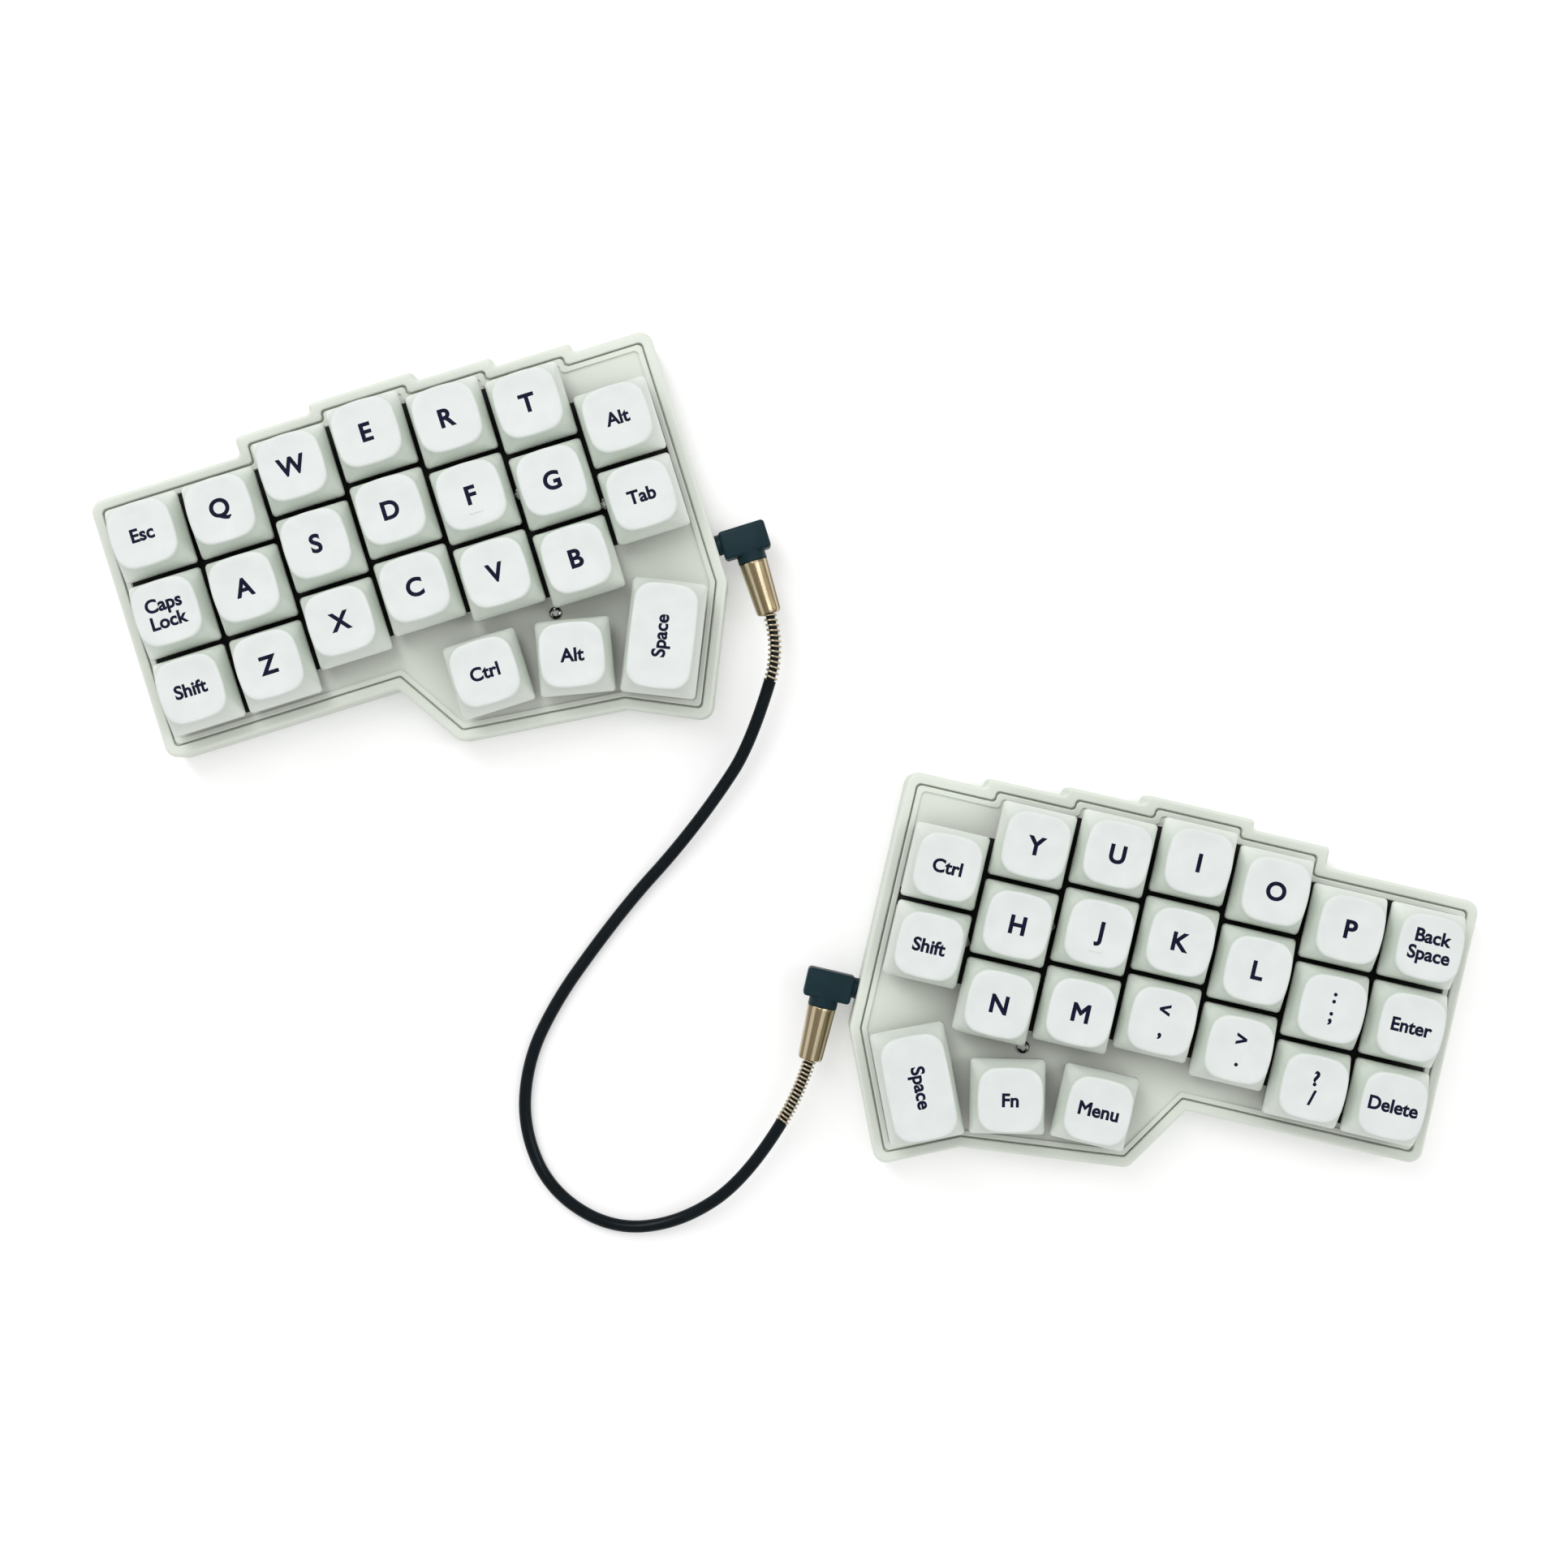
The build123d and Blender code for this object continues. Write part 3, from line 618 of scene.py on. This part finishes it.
def add_legend(bm, text, height, turn, extra):
    """Raised print in the middle of a cap, which follows the dish."""
    mesh = letter_mesh(text, height)
    low = Vector(tuple(min(vertex.co[axis] for vertex in mesh.vertices) for axis in range(3)))
    high = Vector(tuple(max(vertex.co[axis] for vertex in mesh.vertices) for axis in range(3)))
    flat = Matrix.Diagonal((1, 1, 2 * letter_rise / (high.z - low.z), 1))
    mesh.transform(Matrix.Rotation(turn, 4, "Z") @ flat @ Matrix.Translation(-(low + high) / 2))
    for vertex in mesh.vertices:
        vertex.co.z += dish_height(vertex.co.x, vertex.co.y, extra)
    first_face, first_vertex = len(bm.faces), len(bm.verts)
    bm.from_mesh(mesh)
    bm.faces.ensure_lookup_table()
    bm.verts.ensure_lookup_table()
    for face in bm.faces[first_face:]:
        face.material_index = print_finish
        face.smooth = False
    bmesh.ops.remove_doubles(bm, verts=bm.verts[first_vertex:], dist=weld_distance)
    bpy.data.meshes.remove(mesh)


def add_homing_bar(bm):
    """Low rounded bar near the front edge."""
    verts = bmesh.ops.create_cube(bm, size=1)["verts"]
    bmesh.ops.scale(bm, vec=homing_bar_size, verts=verts)
    middle_z = cap_height - cap_dish_depth + homing_bar_rise
    bmesh.ops.translate(bm, vec=(0, -homing_bar_front, middle_z), verts=verts)
    edges = {edge for vertex in verts for edge in vertex.link_edges}
    bmesh.ops.bevel(
        bm, geom=list(edges), offset=homing_bar_rounding, segments=homing_bar_steps, affect="EDGES",
    )


def key_turn(name, half):
    """Turn of a key in the row frame, in degrees."""
    for names, turn in zip(thumb_keys, thumb_turns):
        if name in names:
            return half.turn - half.side * turn
    return half.turn


def joined_vertices(bm):
    """The vertices of each closed shape in a mesh."""
    seen = set()
    for vertex in bm.verts:
        if vertex in seen:
            continue
        shape = [vertex]
        seen.add(vertex)
        for member in shape:
            for edge in member.link_edges:
                other = edge.other_vert(member)
                if other not in seen:
                    seen.add(other)
                    shape.append(other)
        yield shape


def copy_slider(node, bm):
    """The slider under a cap, taken from the solid without the cap itself."""
    source = bmesh.new()
    source.from_mesh(node.data)
    cap_level = max(vertex.co.z for vertex in source.verts) - cap_dish_depth
    drop = []
    for shape in joined_vertices(source):
        if max(vertex.co.z for vertex in shape) > cap_level:
            drop += shape
    bmesh.ops.delete(source, geom=drop, context="VERTS")
    for face in source.faces:
        face.material_index = slider_finish
        face.smooth = False
    plain = close_mesh(source, "slider")
    bm.from_mesh(plain)
    bpy.data.meshes.remove(plain)


def build_key(node_name, materials):
    """One finished key: cap, legend and slider in one mesh that rides on its body."""
    name = node_name[: -len("_key")]
    low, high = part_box(node_name)
    centre = Vector(((low[0] + high[0]) / 2, (low[1] + high[1]) / 2, high[2] - cap_height))
    half = left_half if centre.x < 0 else right_half
    long_key = name in thumb_keys[-1]
    extra = long_key_extra if long_key else 0
    bm = bmesh.new()
    add_cap(bm, extra)
    height = letter_height if len(name) == 1 else sign_height if name in sign_keys else word_height
    legend_turn = half.side * quarter_turn if long_key else 0
    add_legend(bm, legends.get(name, name.upper()), height, legend_turn, extra)
    if name in homing_keys:
        add_homing_bar(bm)
    turn = Matrix.Rotation(radians(key_turn(name, half)), 4, "Z")
    bm.transform(Matrix.Translation(centre) @ turn)
    copy_slider(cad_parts[node_name], bm)
    cap_name = node_name + "_cap"
    key = add_object(cap_name, close_mesh(bm, cap_name), materials)
    stand_in(key, node_name, node_name)


def dress(node_name, material):
    """Give a carried-over solid its finish."""
    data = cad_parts[node_name].data
    data.materials.clear()
    data.materials.append(material)


def gap_strips():
    """Strips of the plate under the gaps between caps, where shade is painted, in a half's own frame."""
    tops = [(stagger + 0.5) * key_pitch for stagger in column_stagger_shares]
    spans = [(top - rows * key_pitch, top) for top, rows in zip(tops, column_rows)]
    half_width = key_pitch / 2 - strip_end_inset
    strips = []
    for column, rows in enumerate(column_rows):
        u = column * key_pitch
        for row in range(1, rows):
            v = tops[column] - row * key_pitch
            strips.append(Strip(u - half_width, u + half_width, v - strip_half_width, v + strip_half_width))
    for column, ((low, high), (next_low, next_high)) in enumerate(zip(spans, spans[1:])):
        u = (column + 0.5) * key_pitch
        bottom = max(low, next_low) + strip_front_inset
        top = min(high, next_high) - strip_end_inset
        strips.append(Strip(u - strip_half_width, u + strip_half_width, bottom, top))
    return strips


def on_plate(face):
    """Whether a face lies in the upper side of the switch plate."""
    level = abs(face.calc_center_median().z - plate_top) < plate_level_reach
    return level and face.normal.z > plate_least_normal


def paint_gap_shade(bm, half):
    """Painted shade on the plate in the gaps between the caps, cut out along straight lines."""
    start, way_u, way_v = half_axes(half)
    strips = gap_strips()

    def spread(face, way):
        reaches = [(vertex.co - start).dot(way) for vertex in face.verts]
        return min(reaches), max(reaches)

    def touches(face, strip):
        low_u, high_u = spread(face, way_u)
        low_v, high_v = spread(face, way_v)
        inside_u = high_u > strip.low_u + weld_distance and low_u < strip.high_u - weld_distance
        return inside_u and high_v > strip.low_v + weld_distance and low_v < strip.high_v - weld_distance

    bm.normal_update()
    for strip in strips:
        for way, limit in zip((way_u, way_u, way_v, way_v), strip):
            faces = [face for face in bm.faces if on_plate(face) and touches(face, strip)]
            corners = {vertex for face in faces for vertex in face.verts}
            edges = {edge for face in faces for edge in face.edges}
            bmesh.ops.bisect_plane(
                bm, geom=faces + list(edges) + list(corners), dist=weld_distance,
                plane_co=start + way * limit, plane_no=way,
            )
            bm.normal_update()
    for face in bm.faces:
        if on_plate(face):
            middle = face.calc_center_median() - start
            u, v = middle.dot(way_u), middle.dot(way_v)
            if any(s.low_u < u < s.high_u and s.low_v < v < s.high_v for s in strips):
                # These faces take the painted shade of the gaps
                face.material_index = 1


def smooth_copy(node_name, materials, half=None):
    """Finished copy of a carried-over solid: welded, and soft across its roundings. Given a half,
    the copy is that half's plate and gets painted shade in the gaps."""
    bm = bmesh.new()
    bm.from_mesh(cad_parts[node_name].data)
    bmesh.ops.remove_doubles(bm, verts=bm.verts, dist=weld_distance)
    for face in bm.faces:
        face.material_index = 0
    if half:
        paint_gap_shade(bm, half)
    for face in bm.faces:
        face.smooth = True
    for edge in bm.edges:
        edge.smooth = edge.is_manifold and edge.calc_face_angle(0) < crease_angle
    finish_name = node_name + "_finish"
    piece = add_object(finish_name, close_mesh(bm, finish_name), materials)
    return stand_in(piece, node_name, "base")


class Tree:
    """Small helper that builds one geometry node tree with named inputs."""

    def __init__(self, name, inputs):
        self.group = bpy.data.node_groups.new(name, "GeometryNodeTree")
        self.socket("Geometry", "INPUT", "Geometry")
        self.sockets = {label: self.socket(label, "INPUT", kind) for label, kind in inputs.items()}
        self.socket("Geometry", "OUTPUT", "Geometry")
        self.inputs = self.add("NodeGroupInput").outputs
        self.result = self.add("NodeGroupOutput").inputs["Geometry"]

    def socket(self, label, way, kind):
        """Add a socket to the tree's outside, and give its identifier."""
        made = self.group.interface.new_socket(label, in_out=way, socket_type="NodeSocket" + kind)
        return made.identifier

    def add(self, kind, links=None, **settings):
        """Add a node, set its plain settings, and link or set its inputs."""
        node = self.group.nodes.new(kind)
        for setting, value in settings.items():
            setattr(node, setting, value)
        for key, value in (links or {}).items():
            if isinstance(value, bpy.types.NodeSocket):
                self.group.links.new(value, node.inputs[key])
            else:
                node.inputs[key].default_value = value
        return node

    def maths(self, operation, *values):
        """Result of an operation on sockets or numbers."""
        return self.add("ShaderNodeMath", dict(enumerate(values)), operation=operation).outputs[0]

    def vectors(self, operation, *values, **named):
        """Result of an operation on vectors, with a scale if it takes one."""
        links = {**dict(enumerate(values)), **named}
        return self.add("ShaderNodeVectorMath", links, operation=operation).outputs[0]

    def end(self, geometry):
        """End the tree in plain geometry of the given material."""
        plain = self.add("GeometryNodeRealizeInstances", {"Geometry": geometry}).outputs["Geometry"]
        links = {"Geometry": plain, "Material": self.inputs["Material"]}
        done = self.add("GeometryNodeSetMaterial", links).outputs["Geometry"]
        self.group.links.new(done, self.result)

    def bake(self, start, values, name):
        """Run the tree on a mesh or curve and give back a plain mesh."""
        holder = add_object(name + "_source", start)
        modifier = holder.modifiers.new("nodes", "NODES")
        modifier.node_group = self.group
        for label, value in values.items():
            modifier[self.sockets[label]] = value
        holder.update_tag()
        bpy.context.view_layer.update()
        seen = holder.evaluated_get(bpy.context.evaluated_depsgraph_get())
        mesh = bpy.data.meshes.new_from_object(seen)
        mesh.name = name
        bpy.data.objects.remove(holder)
        return mesh


def cord_curve(name, points, diameter=0.0):
    """Smooth spline with a cord's points as its control points, round if a diameter is given."""
    data = bpy.data.curves.new(name, "CURVE")
    data.dimensions = "3D"
    data.bevel_depth = diameter / 2
    data.bevel_resolution = cord_side_steps
    data.resolution_u = cord_run_steps
    data.use_fill_caps = True
    spline = data.splines.new("NURBS")
    spline.points.add(len(points) - 1)
    for target, point in zip(spline.points, points):
        target.co = (*(value * mm for value in point), 1)
    spline.order_u = 3
    spline.use_endpoint_u = True
    return data


def bare_points(start, end, beyond):
    """Points of a bare stretch of cord, which bends before the jacket into its next run."""
    start, end, beyond = Vector(start), Vector(end), Vector(beyond)
    way = (end - beyond).normalized()
    return start, end + way * (start - end).length / 2, end


def make_cord(jacket):
    """Patch cord with its bare ends inside the springs."""
    name = "patch_cord_jacket"
    cord = add_object(name, cord_curve(name, cord_route, cord_diameter), (jacket,))
    for name, *stretch in bare_stretches:
        core = add_object(name, cord_curve(name, bare_points(*stretch), core_diameter), (jacket,))
        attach(core, "base")
    stand_in(cord, "patch_cord", "base")
    tuple(value * mm for value in cord_route[0])


def spring_path(stretch):
    """Path of a strain spring, read from the spline of the bare stretch inside it."""
    thing = add_object("bare_line", cord_curve("bare_line", bare_points(*stretch)))
    bpy.context.view_layer.update()
    line = bpy.data.meshes.new_from_object(thing)
    bpy.data.objects.remove(thing)
    data = bpy.data.curves.new("spring_path", "CURVE")
    data.dimensions = "3D"
    spline = data.splines.new("POLY")
    spline.points.add(len(line.vertices) - 1)
    for target, vertex in zip(spline.points, line.vertices):
        target.co = (*vertex.co, 1)
    bpy.data.meshes.remove(line)
    return data


def coil_tree():
    """Tree that winds wire round a path, with the turns, the radius and the wire as inputs."""
    inputs = {"Turns": "Float", "Radius": "Float", "Wire": "Float", "Material": "Material"}
    tree = Tree("wound_coil", inputs)
    given = tree.inputs
    count = tree.maths("MULTIPLY", given["Turns"], spring_steps_per_turn)
    path = tree.add("GeometryNodeResampleCurve", {"Curve": given["Geometry"], "Count": count})
    factor = tree.add("GeometryNodeSplineParameter").outputs["Factor"]
    turned = tree.maths("MULTIPLY", tree.maths("MULTIPLY", factor, given["Turns"]), 2 * pi)
    along = tree.add("GeometryNodeInputTangent").outputs["Tangent"]
    side = tree.vectors("NORMALIZE", tree.vectors("CROSS_PRODUCT", along, (0, 0, 1)))
    rise = tree.vectors("CROSS_PRODUCT", side, along)
    side_reach = tree.maths("MULTIPLY", tree.maths("COSINE", turned), given["Radius"])
    rise_reach = tree.maths("MULTIPLY", tree.maths("SINE", turned), given["Radius"])
    across = tree.vectors("SCALE", side, Scale=side_reach)
    up = tree.vectors("SCALE", rise, Scale=rise_reach)
    links = {"Geometry": path.outputs["Curve"], "Offset": tree.vectors("ADD", across, up)}
    wound = tree.add("GeometryNodeSetPosition", links)
    links = {"Resolution": spring_wire_sides, "Radius": tree.maths("DIVIDE", given["Wire"], 2)}
    section = tree.add("GeometryNodeCurvePrimitiveCircle", links)
    links = {
        "Curve": wound.outputs["Geometry"],
        "Profile Curve": section.outputs["Curve"],
        "Fill Caps": True,
    }
    wire = tree.add("GeometryNodeCurveToMesh", links)
    soft = tree.add("GeometryNodeSetShadeSmooth", {"Geometry": wire.outputs["Mesh"]})
    tree.end(soft.outputs["Geometry"])
    return tree


def make_springs(metal):
    """Open wire coils round the bare ends of the cord."""
    tree = coil_tree()
    bm = bmesh.new()
    for (_, *stretch), turns in zip(bare_stretches, spring_turns):
        sizes = {"Turns": float(turns), "Radius": spring_radius, "Wire": spring_wire, "Material": metal}
        bm.from_mesh(tree.bake(spring_path(stretch), sizes, "coil"))
    bmesh.ops.recalc_face_normals(bm, faces=bm.faces)
    springs = add_object("strain_coils", close_mesh(bm, "strain_coils"), (metal,))
    return stand_in(springs, "strain_springs", "base")


def turned_sleeve(bm, end, half):
    """Fluted tapered sleeve, turned from its outline, with marks mapped round it."""
    along = -half_axes(half)[2]
    side = along.cross(Vector((0, 0, 1)))
    rise = side.cross(along)
    start = Vector(end) - along * sleeve_length
    uv = bm.loops.layers.uv.get("turning") or bm.loops.layers.uv.new("turning")
    rings = []
    for radius, distance in sleeve_outline:
        fluted = radius > fluted_from_radius
        depth = flute_depth * min(1, distance / flute_run_in) if fluted else 0
        row = []
        for step in range(sleeve_sides):
            angle = 2 * pi * step / sleeve_sides
            reach = radius + depth * (cos(flute_count * angle) - 1)
            point = start + along * distance + (side * cos(angle) + rise * sin(angle)) * reach
            row.append(bm.verts.new(point * mm))
        rings.append(row)
    for index, (lower, upper) in enumerate(zip(rings, rings[1:])):
        low, high = sleeve_outline[index][1], sleeve_outline[index + 1][1]
        for step in range(sleeve_sides):
            after = (step + 1) % sleeve_sides
            face = bm.faces.new((lower[step], lower[after], upper[after], upper[step]))
            face.smooth = True
            corners = ((step, low), (step + 1, low), (step + 1, high), (step, high))
            for loop, (turn, height) in zip(face.loops, corners):
                loop[uv].uv = (turn / sleeve_sides, height / sleeve_length)
    bm.faces.new(list(reversed(rings[0])))
    bm.faces.new(rings[-1])


def make_sleeves(metal):
    """Both metal sleeves as one piece of finish."""
    bm = bmesh.new()
    for end, half in zip(sleeve_ends, halves):
        turned_sleeve(bm, end, half)
    bmesh.ops.recalc_face_normals(bm, faces=bm.faces)
    sleeves = add_object("turned_sleeves", close_mesh(bm, "turned_sleeves"), (metal,))
    return stand_in(sleeves, "plug_sleeves", "base")


def screw_mesh():
    """Domed socket-head screw as one turned shape with a six-sided socket."""
    bm = bmesh.new()
    half_side = pi / socket_sides
    rings = []
    for index, (radius, z) in enumerate(screw_outline):
        row = []
        for step in range(screw_steps):
            angle = 2 * pi * step / screw_steps
            reach = radius
            if index < socket_points:
                reach = radius * cos(half_side) / cos(angle % (2 * half_side) - half_side)
            row.append(bm.verts.new((reach * cos(angle) * mm, reach * sin(angle) * mm, z * mm)))
        rings.append(row)
    for inner, outer in zip(rings, rings[1:]):
        for step in range(screw_steps):
            after = (step + 1) % screw_steps
            bm.faces.new((inner[step], outer[step], outer[after], inner[after]))
    bm.faces.new(rings[0])
    bm.faces.new(list(reversed(rings[-1])))
    bmesh.ops.recalc_face_normals(bm, faces=bm.faces)
    for edge in bm.edges:
        edge.smooth = edge.calc_face_angle(0) < crease_angle
    for face in bm.faces:
        face.smooth = True
    return close_mesh(bm, "screw")


def scatter_tree():
    """Tree that sets one shape on every point it is given."""
    tree = Tree("shape_on_points", {"Shape": "Object", "Size": "Float", "Material": "Material"})
    given = tree.inputs
    shape = tree.add("GeometryNodeObjectInfo", {"Object": given["Shape"]}, transform_space="ORIGINAL")
    points = tree.add("GeometryNodeMeshToPoints", {"Mesh": given["Geometry"]}).outputs["Points"]
    links = {"Points": points, "Instance": shape.outputs["Geometry"], "Scale": given["Size"]}
    placed = tree.add("GeometryNodeInstanceOnPoints", links)
    tree.end(placed.outputs["Instances"])
    return tree


def make_screws(metal):
    """The ten case screws."""
    spots = []
    for half in halves:
        start, way_u, way_v = half_axes(half)
        for u, v in screw_place_shares:
            spot = start + way_u * (u * key_pitch) + way_v * (v * key_pitch)
            spots.append((spot.x, spot.y, plate_top))
    places = bpy.data.meshes.new("screw_places")
    places.from_pydata(spots, [], [])
    shape = add_object("screw_shape", screw_mesh(), (metal,))
    mesh = scatter_tree().bake(places, {"Shape": shape, "Size": 1.0, "Material": metal}, "case_screw_set")
    bpy.data.objects.remove(shape)
    stand_in(add_object("case_screw_set", mesh), "case_screws", "base")


def main():
    """Build the whole scene."""
    place_camera()
    make_floor()
    light_scene()
    plug = dark_plastic("plug_plastic", plug_shades, roughness=0.36, specular=0.22)
    ends = [
        smooth_copy("angled_plugs", (plug,)),
        make_sleeves(sleeve_plating()),
        make_springs(spring_plating()),
    ]
    make_cord(dark_plastic("cord_jacket", jacket_shades, roughness=0.26, coat=0.06, specular=0.12))
    key_finishes = (
        cap_top_plastic(),
        cap_skirt_plastic(),
        legend_ink(),
        dark_plastic("slider_plastic", slider_shades, roughness=0.45),
        # Painted shade inside the caps
        dark_plastic("cap_inner_painted_shade", inside_painted_shade_tones, roughness=0.5),
    )
    for node_name in sorted(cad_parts):
        if node_name.endswith("_key"):
            build_key(node_name, key_finishes)
    paint = painted_shell()
    # Painted shade for the plate under the gaps between caps
    gaps = dark_plastic("gap_painted_shade", gap_painted_shade_tones, roughness=0.7, specular=0.1)
    for node_name in ("left_case", "right_case"):
        smooth_copy(node_name, (paint,))
    for node_name, half in zip(("left_top_shell", "right_top_shell"), halves):
        smooth_copy(node_name, (paint, gaps), half)
    dress("circuit_boards", board_lacquer())
    dress("switch_housings", dark_plastic("housing_plastic", housing_shades, roughness=0.5))
    dress("rubber_feet", dark_plastic("foot_rubber", foot_shades, roughness=0.8))
    dress("switch_springs", steel("spring_steel", bright_steel_shades, roughness=0.3, strength=0.08))
    dress("port_sockets", steel("socket_steel", bright_steel_shades, roughness=0.35, strength=0.08))
    make_screws(steel("blackened_steel", dark_steel_shades, roughness=0.18, strength=0.06))


main()
